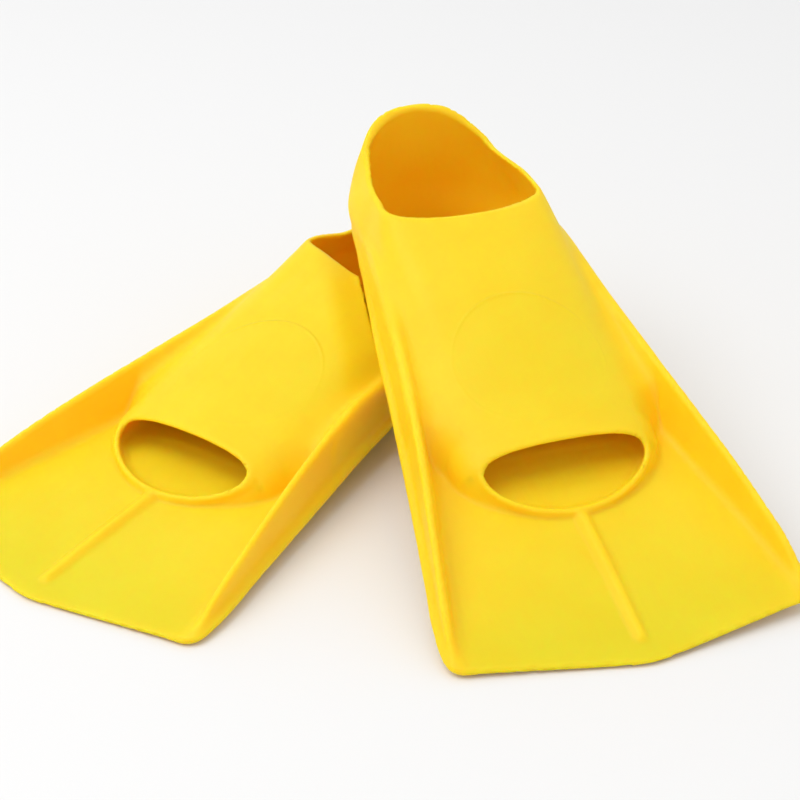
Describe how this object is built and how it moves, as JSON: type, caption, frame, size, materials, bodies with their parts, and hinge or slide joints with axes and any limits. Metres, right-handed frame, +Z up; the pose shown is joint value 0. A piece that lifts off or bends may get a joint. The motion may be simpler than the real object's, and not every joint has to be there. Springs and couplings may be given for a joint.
{
  "type": "swim fins",
  "caption": "Short closed-heel silicone training fins with open toes, side rails and a shallow V tip, one lying flat and the other leaning across its heel.",
  "frame": {"origin": "on the floor, under the centre of the pair's box", "axes": "+Z up; the fins' heels are at +Y and their blades spread towards -Y, the raised fin's to +X and the flat fin's to -X"},
  "size_m": [0.4514, 0.3728, 0.152],
  "materials": {
    "silicone": "satin moulded yellow silicone, slightly translucent"
  },
  "bodies": {
    "left_pocket": {"left_sole": "silicone", "left_heel_cup": "silicone", "left_wall_l": "silicone", "left_wall_r": "silicone", "left_instep": "silicone", "left_toe_rim": "silicone", "left_blade_root": "silicone", "left_rail_l": "silicone", "left_rail_r": "silicone", "left_rib_root": "silicone"},
    "left_blade": {"left_blade": "silicone", "left_tip_rail_l": "silicone", "left_tip_rail_r": "silicone", "left_centre_rib": "silicone"},
    "right_pocket": {"right_sole": "silicone", "right_heel_cup": "silicone", "right_wall_l": "silicone", "right_wall_r": "silicone", "right_instep": "silicone", "right_toe_rim": "silicone", "right_blade_root": "silicone", "right_rail_l": "silicone", "right_rail_r": "silicone", "right_rib_root": "silicone"},
    "right_blade": {"right_blade": "silicone", "right_tip_rail_l": "silicone", "right_tip_rail_r": "silicone", "right_centre_rib": "silicone"}
  },
  "joints": [
    {"name": "left_blade_flex", "type": "hinge", "parent": "left_pocket", "child": "left_blade", "pos_m": [-0.11838, -0.06651, 0.015], "axis": [0.8171, -0.5764, 0], "range_deg": [-30, 30], "stiffness_Nm_per_rad": 2},
    {"name": "right_fin_lift", "type": "slide", "parent": "left_pocket", "child": "right_pocket", "axis": [0.0254, -0.173, 0.9846], "range_m": [0, 0.15]},
    {"name": "right_blade_flex", "type": "hinge", "parent": "right_pocket", "child": "right_blade", "pos_m": [0.12062, -0.11101, 0.02708], "axis": [0.9561, 0.292, 0.0266], "range_deg": [-30, 30], "stiffness_Nm_per_rad": 2}
  ]
}
